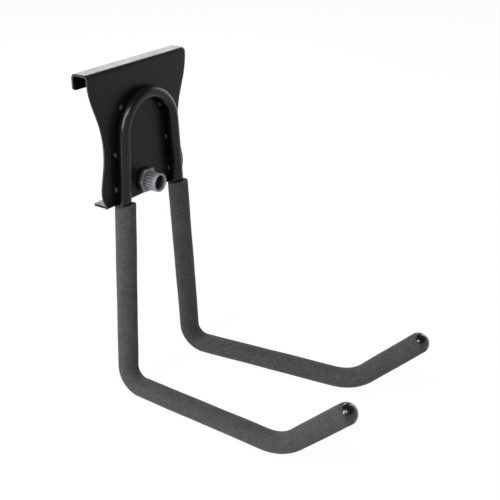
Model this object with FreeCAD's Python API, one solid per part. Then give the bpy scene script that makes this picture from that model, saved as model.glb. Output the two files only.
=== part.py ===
import FreeCAD, Part
import math
import os

from FreeCAD import Vector

# Wall-rail utility hook: a bent sheet plate that hangs on a rail, one round rod
# bent into two padded arms, and a hand knob on a drawbolt that locks the plate.
# +X to the user's right, -Y out from the wall, +Z up. The origin is the middle of
# the underside of the plate's top lip, the face that sits on the rail.
# All lengths are millimetres and all angles are degrees.

# Sheet plate
sheet = 1.6                  # thickness of the steel sheet
lip_depth = 13.5             # front face to the back of the rear flange
flange_height = 10.8         # rear flange, from the top of the lip to its lower edge
flange_corner = 2.0
plate_drop = 88.6            # rail seat to the underside of the foot
lip_bend = 1.5               # inside radius of the two lip bends
foot_bend = 1.0              # inside radius of the foot bend
foot_depth = 14.0            # front face to the back edge of the foot
foot_corner = 1.2
top_width = 95.2
shoulder_drop = 9.9          # corner where the straight side turns in
shoulder_radius = 48.0
waist_width = 69.0           # corner of the waist, before it is rounded
waist_drop = 44.5
waist_radius = 60.0
flare_width = 85.4           # corner of the flare, before it is rounded
flare_drop = 80.7
flare_radius = 19.0
foot_width = 73.0

# Bent rod
rod_diameter = 8.0
weld_offset = 2.0            # the rod is welded this far to the right of the plate's middle
arch_radius = 24.5           # centre line of the arch
arch_drop = 14.8             # rail seat to the top of the arch
leg_splay = 3.66             # each leg leans out by this much going down
leg_drop = 218.9             # rail seat to the corner of the back bend
back_bend = 13.0             # centre-line radii of the two bends of each arm
front_bend = 38.0
run_length = 135.0           # corner of the back bend to the corner of the front bend
run_rise = 2.4
arm_splay = 4.0              # each arm points out by this much seen from above
tip_length = 65.0            # corner of the front bend to the end of the rod
tip_rise = 43.8
rod_chamfer = 0.8

# Foam sleeves
sleeve_diameter = 14.0
sleeve_clearance = 0.05      # radial, foam to rod and foam to cap
sleeve_gap = 0.2             # foot to the top of the sleeve, at the back
sleeve_top_slant = 8.0       # the cut top rises by this much towards the front

# End caps
cap_wall = 0.9
cap_depth = 9.0              # length of rod inside the cap
cap_clearance = 0.02         # radial, rod to cap
cap_angle = 58.0             # half angle of the ball-shaped tip that the cap's head takes
ball_setback = 2.6           # middle of that ball, behind the end of the rod

# Weld beads
bead_radius = 1.8
bead_length = 4.6
bead_chamfer = 0.9
bead_offset = 4.4            # rod centre line to the middle of the bead
bead_stand = 0.35            # middle of the bead above the sheet
bead_drops = (53.9, 77.1)    # beads beside the legs, below the rail seat
bead_arch_angle = 41.0       # beads beside the arch, above the horizontal

# Lock knob, its insert, its washer and the drawbolt
knob_drop = 78.4             # rail seat to the axis of the knob
washer_diameter = 16.0
washer_thickness = 1.0
knob_gap = 0.1               # washer to the back of the knob
knob_turned = -4.0           # the hexagon as the knob stands, from one with level flats
hex_flats = 15.4
hex_height = 2.4
hex_chamfer = 12.0           # slope of the turned-off hexagon corners
hex_land = 0.3               # the turned face is this much inside the flats
barrel_diameter = 12.7
flute_count = 18
flute_depth = 0.6
flute_share = 0.5            # width of a flute as a share of the spacing
ring_diameter = 12.6
ring_length = 2.0
knob_length = 12.2
ring_round = 0.5             # front edge of the ring
mouth_chamfer = 0.35
mouth_diameter = 10.2        # open front of the knob
knob_bore = 8.8              # seat of the insert
pocket_depth = 2.1           # relief in the back of the knob for the bolt's neck
insert_length = 4.2
insert_chamfer = 0.4
bolt_diameter = 6.0
bolt_clearance = 0.05        # radial, thread to insert
bolt_end = 0.5               # the bolt stands this far out of the insert
bolt_chamfer = 0.6
neck_width = 6.4             # square neck that keeps the bolt from turning
neck_clearance = 0.2
corner_clearance = 0.25      # corners of the neck to the washer and the knob
neck_length = 9.25
head_width = 8.0
head_length = 15.0
head_height = 2.5
head_chamfer = 0.5

# Derived planes
flange_back = lip_depth / 2
plate_front = flange_back - lip_depth
plate_back = plate_front + sheet
seat_top = sheet
foot_under = -plate_drop
foot_top = foot_under + sheet
rod_radius = rod_diameter / 2
rod_y = plate_front - rod_radius
arch_centre_z = -arch_drop - rod_radius - arch_radius
sleeve_radius = sleeve_diameter / 2
mouth_height = sleeve_radius * math.cos(math.radians(cap_angle))   # above the middle of the ball
pocket_diameter = neck_width * math.sqrt(2) + 2 * corner_clearance
knob_start = plate_front - washer_thickness - knob_gap
room_share = 0.98            # the roundings on a run take at most this share of it
far = 200.0                  # longer than the object, for cutting shapes


def rounded_edges(points, radii):
    """Straight runs through the points, joined by tangent arcs at the inner points."""
    runs = [(points[k + 1] - points[k]).Length for k in range(len(points) - 1)]
    halves = []
    setbacks = [0.0]
    for k, radius in enumerate(radii):
        half = (points[k] - points[k + 1]).getAngle(points[k + 2] - points[k + 1]) / 2
        halves.append(half)
        setbacks.append(radius / math.tan(half))
    setbacks.append(0.0)
    edges = []
    last = points[0]
    for k, half in enumerate(halves):
        corner = points[k + 1]
        room = min(runs[k] / (setbacks[k] + setbacks[k + 1]),
                   runs[k + 1] / (setbacks[k + 1] + setbacks[k + 2]))
        setback = setbacks[k + 1] * min(1.0, room_share * room)
        radius = setback * math.tan(half)
        back = (points[k] - corner).normalize()
        ahead = (points[k + 2] - corner).normalize()
        start = corner + back * setback
        end = corner + ahead * setback
        middle = corner + (back + ahead).normalize() * (radius / math.sin(half) - radius)
        edges.append(Part.makeLine(last, start))
        edges.append(Part.Arc(start, middle, end).toShape())
        last = end
    edges.append(Part.makeLine(last, points[-1]))
    return edges


def swept_rod(path, radius):
    """Solid round bar along a path of straight runs and arcs."""
    first = path.OrderedEdges[0]
    start = first.valueAt(first.FirstParameter)
    direction = first.tangentAt(first.FirstParameter)
    circle = Part.Wire(Part.makeCircle(radius, start, direction))
    return path.makePipeShell([circle], True, False)


def mirrored(shape):
    """The same shape on the other side of the rod's middle plane."""
    return shape.mirror(Vector(weld_offset, 0, 0), Vector(1, 0, 0))


def edges_near(shape, test):
    return [edge for edge in shape.Edges if test(edge)]


def circle_edge_at(shape, centre, radius):
    """Edges of a circle of the given radius about the given centre."""
    def test(edge):
        curve = edge.Curve
        if not isinstance(curve, Part.Circle):
            return False
        return abs(curve.Radius - radius) < 1e-4 and (curve.Center - centre).Length < 1e-3
    return edges_near(shape, test)


# Sheet plate

def plate_side_profile():
    """Section of the bent sheet in the Y-Z plane: flange, lip, plate and foot."""
    flange_low = seat_top - flange_height
    foot_back = plate_front + foot_depth
    outer = [
        Vector(0, flange_back, flange_low),
        Vector(0, flange_back, seat_top),
        Vector(0, plate_front, seat_top),
        Vector(0, plate_front, foot_under),
        Vector(0, foot_back, foot_under),
    ]
    inner = [
        Vector(0, foot_back, foot_top),
        Vector(0, plate_back, foot_top),
        Vector(0, plate_back, 0),
        Vector(0, flange_back - sheet, 0),
        Vector(0, flange_back - sheet, flange_low),
    ]
    edges = rounded_edges(outer, [lip_bend + sheet, lip_bend + sheet, foot_bend + sheet])
    edges.append(Part.makeLine(outer[-1], inner[0]))
    edges += rounded_edges(inner, [foot_bend, lip_bend, lip_bend])
    edges.append(Part.makeLine(inner[-1], outer[0]))
    return Part.Face(Part.Wire(edges))


def front_outline_prism():
    """Hourglass outline, carried through the front half of the bent strip."""
    right = [
        Vector(top_width / 2, 0, far),
        Vector(top_width / 2, 0, -shoulder_drop),
        Vector(waist_width / 2, 0, -waist_drop),
        Vector(flare_width / 2, 0, -flare_drop),
        Vector(foot_width / 2, 0, foot_under),
    ]
    left = [Vector(-point.x, 0, point.z) for point in reversed(right)]
    radii = [shoulder_radius, waist_radius, flare_radius]
    edges = rounded_edges(right, radii)
    edges.append(Part.makeLine(right[-1], left[0]))
    edges += rounded_edges(left, radii[::-1])
    edges.append(Part.makeLine(left[-1], right[0]))
    face = Part.Face(Part.Wire(edges))
    face.translate(Vector(0, -far, 0))
    return face.extrude(Vector(0, far, 0))


def rear_outline_prisms():
    """Outline of the rear flange with its rounded corners, and of the foot."""
    half = top_width / 2
    low = seat_top - flange_height
    points = [
        Vector(half, 0, far),
        Vector(half, 0, low),
        Vector(-half, 0, low),
        Vector(-half, 0, far),
    ]
    edges = rounded_edges(points, [flange_corner, flange_corner])
    edges.append(Part.makeLine(points[-1], points[0]))
    flange = Part.Face(Part.Wire(edges)).extrude(Vector(0, far, 0))
    half = foot_width / 2
    low = foot_under - sheet
    foot_back = plate_front + foot_depth
    points = [
        Vector(half, 0, low),
        Vector(half, foot_back, low),
        Vector(-half, foot_back, low),
        Vector(-half, 0, low),
    ]
    edges = rounded_edges(points, [foot_corner, foot_corner])
    edges.append(Part.makeLine(points[-1], points[0]))
    foot = Part.Face(Part.Wire(edges)).extrude(Vector(0, 0, 3 * sheet))
    return flange, foot


def make_back_plate():
    strip = plate_side_profile().extrude(Vector(2 * far, 0, 0))
    strip.translate(Vector(-far, 0, 0))
    flange, foot = rear_outline_prisms()
    front = strip.common(front_outline_prism())
    plate = front.fuse([strip.common(flange), strip.common(foot)]).removeSplitter()
    side = neck_width + 2 * neck_clearance
    hole = Part.makeBox(side, 3 * sheet, side, Vector(-side / 2, plate_front - sheet, -knob_drop - side / 2))
    return plate.cut(hole)


# Bent rod

def arm_direction(rise):
    flat = math.cos(math.radians(rise))
    splay = math.radians(arm_splay)
    return Vector(flat * math.sin(splay), -flat * math.cos(splay), math.sin(math.radians(rise)))


lean = math.radians(leg_splay)
leg_direction = Vector(math.sin(lean), 0, -math.cos(lean))
arch_end = Vector(weld_offset + arch_radius * math.cos(lean), rod_y,
                  arch_centre_z + arch_radius * math.sin(lean))
back_corner = arch_end + leg_direction * ((leg_drop + arch_end.z) / math.cos(lean))
run_direction = arm_direction(run_rise)
front_corner = back_corner + run_direction * run_length
tip_direction = arm_direction(tip_rise)
rod_end = front_corner + tip_direction * tip_length
ball_centre = rod_end - tip_direction * ball_setback


def arm_edges(start, end):
    """Centre line of the right-hand arm from a point on the leg to a point on the tip."""
    return rounded_edges([start, back_corner, front_corner, end], [back_bend, front_bend])


def make_hook_rod():
    right = arm_edges(arch_end, rod_end)
    left = [mirrored(edge) for edge in right]
    arch_top = Vector(weld_offset, rod_y, arch_centre_z + arch_radius)
    other_end = Vector(2 * weld_offset - arch_end.x, arch_end.y, arch_end.z)
    arch = Part.Arc(other_end, arch_top, arch_end).toShape()
    path = Part.Wire(Part.__sortEdges__(right + left + [arch]))
    rod = swept_rod(path, rod_radius)
    ends = circle_edge_at(rod, rod_end, rod_radius)
    ends += circle_edge_at(rod, Vector(2 * weld_offset - rod_end.x, rod_end.y, rod_end.z), rod_radius)
    return rod.makeChamfer(rod_chamfer, ends)


# Foam sleeves and end caps

def point_on_leg(z):
    return arch_end + leg_direction * ((arch_end.z - z) / math.cos(lean))


def on_tip(shape, place):
    """Stand a shape made along +Z on a point of the right-hand tip."""
    shape.Placement = FreeCAD.Placement(place, FreeCAD.Rotation(Vector(0, 0, 1), tip_direction))
    return shape


def ball_point(angle, drop):
    """Point of the ball-shaped tip, by its angle from the tip's axis, above a plane."""
    return Vector(sleeve_radius * math.sin(angle), 0, sleeve_radius * math.cos(angle) - drop)


def make_ball_end():
    """End of the foam, rounded over as a ball up to the head of the cap."""
    turn = math.radians(cap_angle)
    rim = ball_point(turn, 0)
    edges = [
        Part.makeLine(Vector(0, 0, 0), Vector(sleeve_radius, 0, 0)),
        Part.Arc(Vector(sleeve_radius, 0, 0), ball_point((turn + math.pi / 2) / 2, 0), rim).toShape(),
        Part.makeLine(rim, Vector(0, 0, rim.z)),
        Part.makeLine(Vector(0, 0, rim.z), Vector(0, 0, 0)),
    ]
    end = Part.Face(Part.Wire(edges)).revolve(Vector(0, 0, 0), Vector(0, 0, 1), 360)
    return on_tip(end, ball_centre)


def above_sleeve():
    """Everything above the slanted cut that ends the sleeve under the plate's foot."""
    block = Part.makeBox(2 * far, 2 * far, far, Vector(-far, -far, 0))
    block.rotate(Vector(0, 0, 0), Vector(1, 0, 0), -sleeve_top_slant)
    block.translate(Vector(0, rod_y + sleeve_radius, foot_under - sleeve_gap))
    return block


def make_foam_sleeve():
    body = swept_rod(Part.Wire(arm_edges(arch_end, ball_centre)), sleeve_radius)
    body = body.fuse(make_ball_end())
    bore = swept_rod(Part.Wire(arm_edges(arch_end, rod_end)), rod_radius + sleeve_clearance)
    cap_room = rod_radius + cap_clearance + cap_wall + sleeve_clearance
    room_start = rod_end - tip_direction * (cap_depth + sleeve_clearance)
    room = Part.makeCylinder(cap_room, far, room_start, tip_direction)
    return body.cut([bore, room, above_sleeve()])


def make_end_cap():
    """Cup pushed on the end of the rod; its head closes the ball-shaped tip."""
    inner = rod_radius + cap_clearance
    outer = inner + cap_wall
    open_end = -cap_depth
    head_low = mouth_height + sleeve_clearance
    head_turn = math.acos(head_low / sleeve_radius)
    rim = ball_point(head_turn, ball_setback)
    top = ball_point(0, ball_setback)
    edges = [
        Part.makeLine(Vector(inner, 0, open_end), Vector(outer, 0, open_end)),
        Part.makeLine(Vector(outer, 0, open_end), Vector(outer, 0, rim.z)),
        Part.makeLine(Vector(outer, 0, rim.z), rim),
        Part.Arc(rim, ball_point(head_turn / 2, ball_setback), top).toShape(),
        Part.makeLine(top, Vector(0, 0, cap_clearance)),
        Part.makeLine(Vector(0, 0, cap_clearance), Vector(inner, 0, cap_clearance)),
        Part.makeLine(Vector(inner, 0, cap_clearance), Vector(inner, 0, open_end)),
    ]
    cap = Part.Face(Part.Wire(edges)).revolve(Vector(0, 0, 0), Vector(0, 0, 1), 360)
    return on_tip(cap, rod_end)


# Weld beads

def bead(middle, direction):
    bar = Part.makeCylinder(bead_radius, bead_length, middle - direction * (bead_length / 2), direction)
    ends = edges_near(bar, lambda edge: edge.Closed and isinstance(edge.Curve, Part.Circle))
    return bar.makeChamfer(bead_chamfer, ends)


def make_weld_beads(rod, plate):
    """Beads in the corner between rod and sheet, on both sides of the rod."""
    y = plate_front - bead_stand
    beads = []
    for side in (-1, 1):
        for drop in bead_drops:
            centre = point_on_leg(-drop)
            across = Vector(math.cos(lean), 0, math.sin(lean)) * (bead_offset * side)
            middle = Vector(centre.x, y, centre.z) + across
            beads.append(bead(middle, leg_direction))
        turn = math.radians(bead_arch_angle)
        reach = arch_radius + bead_offset * side
        middle = Vector(weld_offset + reach * math.cos(turn), y, arch_centre_z + reach * math.sin(turn))
        beads.append(bead(middle, Vector(-math.sin(turn), 0, math.cos(turn))))
    beads += [mirrored(one) for one in beads]
    return Part.makeCompound([one.cut([rod, plate]) for one in beads])


# Lock knob, insert and drawbolt, made along +Z and then turned to point out of the plate

def turned_out(shape, start):
    """Stand a shape made along +Z on the plate, pointing out from the wall."""
    shape.Placement = FreeCAD.Placement(Vector(0, start, -knob_drop),
                                        FreeCAD.Rotation(Vector(1, 0, 0), 90))
    return shape


def hexagon_prism(flats, height):
    corner = flats / 2 / math.cos(math.radians(30))
    turns = [math.radians(knob_turned + 60 * k) for k in range(7)]
    points = [Vector(corner * math.cos(turn), corner * math.sin(turn), 0) for turn in turns]
    prism = Part.Face(Part.makePolygon(points)).extrude(Vector(0, 0, height))
    top = flats / 2 - hex_land
    cone = Part.makeCone(top + height / math.tan(math.radians(hex_chamfer)), top, height)
    return prism.common(cone)


def fluted_barrel():
    """Prism whose outline alternates round lands and hollow flutes."""
    radius = barrel_diameter / 2
    step = 2 * math.pi / flute_count

    def at(turn, distance):
        return Vector(distance * math.cos(turn * step), distance * math.sin(turn * step), 0)

    edges = []
    for k in range(flute_count):
        start = at(k, radius)
        end = at(k + flute_share, radius)
        edges.append(Part.Arc(start, at(k + flute_share / 2, radius - flute_depth), end).toShape())
        edges.append(Part.Arc(end, at(k + (1 + flute_share) / 2, radius), at(k + 1, radius)).toShape())
    face = Part.Face(Part.Wire(edges))
    face.translate(Vector(0, 0, hex_height))
    return face.extrude(Vector(0, 0, knob_length - ring_length - hex_height))


def end_ring():
    """Plain ring in front of the flutes, rounded at the front."""
    ring = Part.makeCylinder(ring_diameter / 2, ring_length, Vector(0, 0, knob_length - ring_length))
    return ring.makeFillet(ring_round, circle_edge_at(ring, Vector(0, 0, knob_length), ring_diameter / 2))


def make_lock_knob():
    mouth_start = pocket_depth + insert_length
    body = hexagon_prism(hex_flats, hex_height).fuse([fluted_barrel(), end_ring()])
    body = body.cut([
        Part.makeCylinder(knob_bore / 2, far),
        Part.makeCylinder(pocket_diameter / 2, pocket_depth),
        Part.makeCylinder(mouth_diameter / 2, far, Vector(0, 0, mouth_start)),
    ])
    mouth = circle_edge_at(body, Vector(0, 0, knob_length), mouth_diameter / 2)
    body = body.makeChamfer(mouth_chamfer, mouth)
    return turned_out(body, knob_start)


def make_knob_insert():
    body = Part.makeCylinder(knob_bore / 2, insert_length, Vector(0, 0, pocket_depth))
    body = body.cut(Part.makeCylinder(bolt_diameter / 2 + bolt_clearance, far))
    rim = circle_edge_at(body, Vector(0, 0, pocket_depth + insert_length), bolt_diameter / 2 + bolt_clearance)
    body = body.makeChamfer(insert_chamfer, rim)
    return turned_out(body, knob_start)


def make_knob_washer():
    washer = Part.makeCylinder(washer_diameter / 2, washer_thickness)
    washer = washer.cut(Part.makeCylinder(pocket_diameter / 2, far))
    return turned_out(washer, plate_front)


def make_lock_bolt():
    """Drawbolt: oblong head behind the plate, square neck in it, thread in the insert."""
    thread_length = plate_front - knob_start + pocket_depth + insert_length + bolt_end
    thread = Part.makeCylinder(bolt_diameter / 2, thread_length)
    tip = circle_edge_at(thread, Vector(0, 0, thread_length), bolt_diameter / 2)
    thread = thread.makeChamfer(bolt_chamfer, tip)
    neck = Part.makeBox(neck_width, neck_width, neck_length,
                        Vector(-neck_width / 2, -neck_width / 2, -neck_length))
    straight = head_length - head_width
    head = Part.makeBox(head_width, straight, head_height, Vector(-head_width / 2, -straight / 2, 0))
    for side in (-1, 1):
        head = head.fuse(Part.makeCylinder(head_width / 2, head_height, Vector(0, side * straight / 2, 0)))
    head = head.removeSplitter()
    back = edges_near(head, lambda edge: abs(edge.CenterOfMass.z) < 1e-6)
    head = head.makeChamfer(head_chamfer, back)
    head.translate(Vector(0, 0, -neck_length - head_height))
    bolt = thread.fuse([neck, head]).removeSplitter()
    return turned_out(bolt, plate_front)


def build():
    plate = make_back_plate()
    rod = make_hook_rod()
    sleeve = make_foam_sleeve()
    cap = make_end_cap()
    return {
        "back_plate": plate,
        "hook_rod": rod,
        "weld_beads": make_weld_beads(rod, plate),
        "foam_sleeve_right": sleeve,
        "foam_sleeve_left": mirrored(sleeve),
        "end_cap_right": cap,
        "end_cap_left": mirrored(cap),
        "knob_washer": make_knob_washer(),
        "lock_knob": make_lock_knob(),
        "knob_insert": make_knob_insert(),
        "lock_bolt": make_lock_bolt(),
    }


os.makedirs("parts", exist_ok=True)
for name, shape in build().items():
    solids = len(shape.Solids)
    print(name, "solids", solids, "valid", shape.isValid(), "volume", round(shape.Volume, 1))
    shape.exportStep("parts/" + name + ".step")
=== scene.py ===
import math

import bmesh
import bpy
import numpy as np
from mathutils import Matrix, Vector


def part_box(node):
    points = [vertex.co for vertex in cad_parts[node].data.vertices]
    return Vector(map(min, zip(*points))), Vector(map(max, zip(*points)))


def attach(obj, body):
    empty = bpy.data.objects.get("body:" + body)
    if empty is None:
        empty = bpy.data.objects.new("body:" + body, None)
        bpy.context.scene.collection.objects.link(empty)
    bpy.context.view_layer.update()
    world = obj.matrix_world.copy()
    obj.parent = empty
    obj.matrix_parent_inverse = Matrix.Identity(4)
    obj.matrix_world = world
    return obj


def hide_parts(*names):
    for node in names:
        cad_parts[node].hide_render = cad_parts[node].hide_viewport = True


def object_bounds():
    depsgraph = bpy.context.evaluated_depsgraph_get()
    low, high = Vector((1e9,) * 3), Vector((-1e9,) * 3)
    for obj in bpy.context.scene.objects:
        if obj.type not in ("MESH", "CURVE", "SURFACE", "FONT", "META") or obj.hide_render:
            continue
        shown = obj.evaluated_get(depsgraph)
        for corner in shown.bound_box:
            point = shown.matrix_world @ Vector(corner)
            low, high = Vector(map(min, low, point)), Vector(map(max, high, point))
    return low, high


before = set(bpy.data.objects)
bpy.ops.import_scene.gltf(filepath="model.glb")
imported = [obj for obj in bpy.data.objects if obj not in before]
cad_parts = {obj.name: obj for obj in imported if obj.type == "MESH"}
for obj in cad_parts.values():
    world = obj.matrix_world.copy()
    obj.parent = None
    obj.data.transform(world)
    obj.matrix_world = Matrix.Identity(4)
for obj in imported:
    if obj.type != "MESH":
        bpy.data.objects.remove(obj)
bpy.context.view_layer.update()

# Sizes are in millimetres and angles in degrees, where no other unit is said. newMesh makes them metres.
mm = 0.001
turn = 2 * math.pi
rightward = np.array([1.0, 0, 0])
backward = np.array([0, 1.0, 0])


def boxOf(node):
    # the two corners of a CAD node's box
    low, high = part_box(node)
    return np.array(low) / mm, np.array(high) / mm


# Shared tools: grids, paths, tubes, nodes

def quadGrid(rows, columns, closeRows=False):
    # quads between neighbouring points of a grid: its columns close in a ring, its rows only if asked
    r, c = np.meshgrid(np.arange(rows if closeRows else rows - 1), np.arange(columns), indexing="ij")
    below, right = (r + 1) % rows, (c + 1) % columns
    corners = [r * columns + c, r * columns + right, below * columns + right, below * columns + c]
    return np.stack(corners, axis=-1).reshape(-1, 4)


def newObject(name, data):
    made = bpy.data.objects.new(name, data)
    bpy.context.scene.collection.objects.link(made)
    return made


def newMesh(name, points, quads, sharpAngle=40.0):
    # points and quads become a closed mesh: poles are merged and the faces turned outwards
    mergeGap = 2e-7          # metres
    mesh = bpy.data.meshes.new(name)
    mesh.vertices.add(len(points))
    mesh.vertices.foreach_set("co", (np.asarray(points) * mm).astype(np.float32).ravel())
    mesh.loops.add(quads.size)
    mesh.loops.foreach_set("vertex_index", quads.astype(np.int32).ravel())
    mesh.polygons.add(len(quads))
    mesh.polygons.foreach_set("loop_start", np.arange(0, quads.size, 4, dtype=np.int32))
    mesh.update(calc_edges=True)
    shell = bmesh.new()
    shell.from_mesh(mesh)
    bmesh.ops.remove_doubles(shell, verts=shell.verts, dist=mergeGap)
    bmesh.ops.dissolve_degenerate(shell, edges=shell.edges, dist=mergeGap / 2)
    bmesh.ops.recalc_face_normals(shell, faces=shell.faces)
    shell.to_mesh(mesh)
    shell.free()
    mesh.polygons.foreach_set("use_smooth", np.ones(len(mesh.polygons), bool))
    mesh.set_sharp_from_angle(angle=math.radians(sharpAngle))
    mesh.update()
    return newObject(name, mesh)


def gridMesh(name, grid, sharpAngle=40.0, closeRows=False):
    return newMesh(name, grid.reshape(-1, 3), quadGrid(*grid.shape[:2], closeRows), sharpAngle)


def joinedMesh(name, grids, sharpAngle=40.0):
    # several closed grids in one mesh
    starts = np.cumsum([0] + [grid.shape[0] * grid.shape[1] for grid in grids])
    points = np.concatenate([grid.reshape(-1, 3) for grid in grids])
    quads = np.concatenate([quadGrid(*grid.shape[:2]) + start for grid, start in zip(grids, starts)])
    return newMesh(name, points, quads, sharpAngle)


def finishPiece(piece, body, slot, material, *nodes):
    # every new piece rides on a body and stands for the solids that it redraws
    piece.data.materials.append(material)
    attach(piece, body)
    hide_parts(*nodes)


def unit(vectors):
    return vectors / np.linalg.norm(vectors, axis=-1, keepdims=True)


def bentPath(corners, radii, step, arcStep=4.0):
    # points and tangents of straight runs between the corners, each inner corner rounded by a tangent arc
    corners = np.array(corners, float)
    points, tangents, last = [], [], corners[0]
    for k, radius in enumerate(radii):
        corner = corners[k + 1]
        back, ahead = unit(corners[k] - corner), unit(corners[k + 2] - corner)
        half = math.acos(np.clip(back @ ahead, -1, 1)) / 2
        start = corner + back * radius / math.tan(half)
        end = corner + ahead * radius / math.tan(half)
        centre = corner + unit(back + ahead) * radius / math.sin(half)
        count = max(2, int(np.linalg.norm(start - last) / step))
        share = np.linspace(0, 1, count, endpoint=False)[:, None]
        points.append(last + (start - last) * share)
        tangents.append(np.repeat([-back], count, axis=0))
        sweep = math.pi - 2 * half
        count = max(3, int(math.degrees(sweep) / arcStep))
        angle = np.linspace(0, sweep, count, endpoint=False)[:, None]
        spoke = unit(start - centre)
        points.append(centre + radius * (np.cos(angle) * spoke - np.sin(angle) * back))
        tangents.append(-np.cos(angle) * back - np.sin(angle) * spoke)
        last = end
    count = max(3, int(np.linalg.norm(corners[-1] - last) / step))
    share = np.linspace(0, 1, count)[:, None]
    points.append(last + (corners[-1] - last) * share)
    tangents.append(np.repeat([unit(corners[-1] - last)], count, axis=0))
    return np.concatenate(points), np.concatenate(tangents)


def distanceAlong(points):
    return np.concatenate([[0], np.cumsum(np.linalg.norm(np.diff(points, axis=0), axis=1))])


def readAt(rows, along, vectors):
    # the vectors that belong to the distances along, read off at the distances rows
    return np.stack([np.interp(rows, along, vectors[:, k]) for k in range(3)], axis=1)


def tubeGrid(points, tangents, guide, radii, columns):
    # a ring of the given radius round each point, square to the tangent, started from the guide direction
    side = unit(np.cross(tangents, guide))
    up = np.cross(side, tangents)
    angle = np.arange(columns) * turn / columns
    ring = np.cos(angle)[None, :, None] * side[:, None] + np.sin(angle)[None, :, None] * up[:, None]
    return points[:, None] + ring * radii[:, None, None]


def spunGrid(profile, columns, section=None):
    # profile rows are (height, radius), each spun about +Z; section may change the radius with the angle
    profile = np.array(profile, float)
    angle = np.arange(columns) * turn / columns
    height = np.repeat(profile[:, :1], columns, axis=1)
    radius = np.repeat(profile[:, 1:2], columns, axis=1)
    if section is not None:
        radius = section(height, radius, angle[None, :])
    return np.stack([radius * np.cos(angle), radius * np.sin(angle), height], axis=-1)


def arcRows(height, radius, size, first, last, count=6):
    # points of an arc of the given size about (height, radius), angles from the outward radius towards +Z
    angle = np.radians(np.linspace(first, last, count))
    return np.stack([height + size * np.sin(angle), radius + size * np.cos(angle)], axis=1).tolist()


def linear(hexColour):
    # sRGB hex to the linear colour that the shaders work in
    raw = np.array([int(hexColour[k:k + 2], 16) / 255 for k in (1, 3, 5)])
    colour = np.where(raw <= 0.04045, raw / 12.92, ((raw + 0.055) / 1.055) ** 2.4)
    return (*colour.tolist(), 1.0)


def grey(value):
    return (value, value, value, 1.0)


def addNode(tree, kind, values=None, links=None, stops=(), **settings):
    # a node with its settings, socket values, incoming links and, on a colour ramp, its stops
    node = tree.nodes.new(kind)
    for name, value in settings.items():
        setattr(node, name, value)
    for socket, value in (values or {}).items():
        node.inputs[socket].default_value = value
    for socket, source in (links or {}).items():
        tree.links.new(source, node.inputs[socket])
    for k, (place, colour) in enumerate(stops):
        stop = node.color_ramp.elements[k] if k < 2 else node.color_ramp.elements.new(place)
        stop.position = place
        stop.color = colour
    return node


def newMaterial(name):
    material = bpy.data.materials.new(name)
    material.use_nodes = True
    material.node_tree.nodes.clear()
    return material, material.node_tree


# Materials

noiseSpan = {"From Min": 0.3, "From Max": 0.7}   # a noise hardly leaves this range

enamel = {
    "plate": {"colour": "#0b0b0c", "roughness": (0.30, 0.40), "gloss": 0.15},
    "rod": {"colour": "#08080a", "roughness": (0.26, 0.30), "gloss": 0.25},
    "peelSize": 1.6,         # between the waves of the sprayed coat
    "peelDepth": 0.0015,
    "haze": 14,              # patches where the coat dried duller
}


def sprayedEnamel(name, coat):
    # sprayed and baked enamel on steel: black, glossy, with the faint waves of orange peel
    material, tree = newMaterial(name)
    place = addNode(tree, "ShaderNodeTexCoord").outputs["Object"]
    peel = addNode(tree, "ShaderNodeTexNoise",
                   {"Scale": 1 / (enamel["peelSize"] * mm), "Detail": 2.0, "Roughness": 0.45},
                   {"Vector": place})
    haze = addNode(tree, "ShaderNodeTexNoise",
                   {"Scale": 1 / (enamel["haze"] * mm), "Detail": 4.0, "Roughness": 0.6},
                   {"Vector": place})
    low, high = coat["roughness"]
    rough = addNode(tree, "ShaderNodeMapRange", {**noiseSpan, "To Min": low, "To Max": high},
                    {"Value": haze.outputs["Fac"]})
    bump = addNode(tree, "ShaderNodeBump", {"Strength": 0.6, "Distance": enamel["peelDepth"] * mm},
                   {"Height": peel.outputs["Fac"]})
    shader = addNode(tree, "ShaderNodeBsdfPrincipled",
                     {"Base Color": linear(coat["colour"]), "IOR": 1.5,
                      "Specular IOR Level": coat["gloss"]},
                     {"Roughness": rough.outputs["Result"], "Normal": bump.outputs["Normal"]})
    addNode(tree, "ShaderNodeOutputMaterial", links={"Surface": shader.outputs["BSDF"]})
    return material


foam = {
    "colour": "#3e4040",
    "pitColour": "#212323",
    "pitRange": (0.36, 0.62),   # of the noise, from the floor of a pit to the skin
    "cell": 0.65,            # drawn coarser than the real cells so that the grain shows
    "cellDepth": 0.10,
    "cloud": 5.0,            # soft patches of lighter and darker skin
    "cloudShade": 0.8,
    "roughness": 0.86,
}


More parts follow.
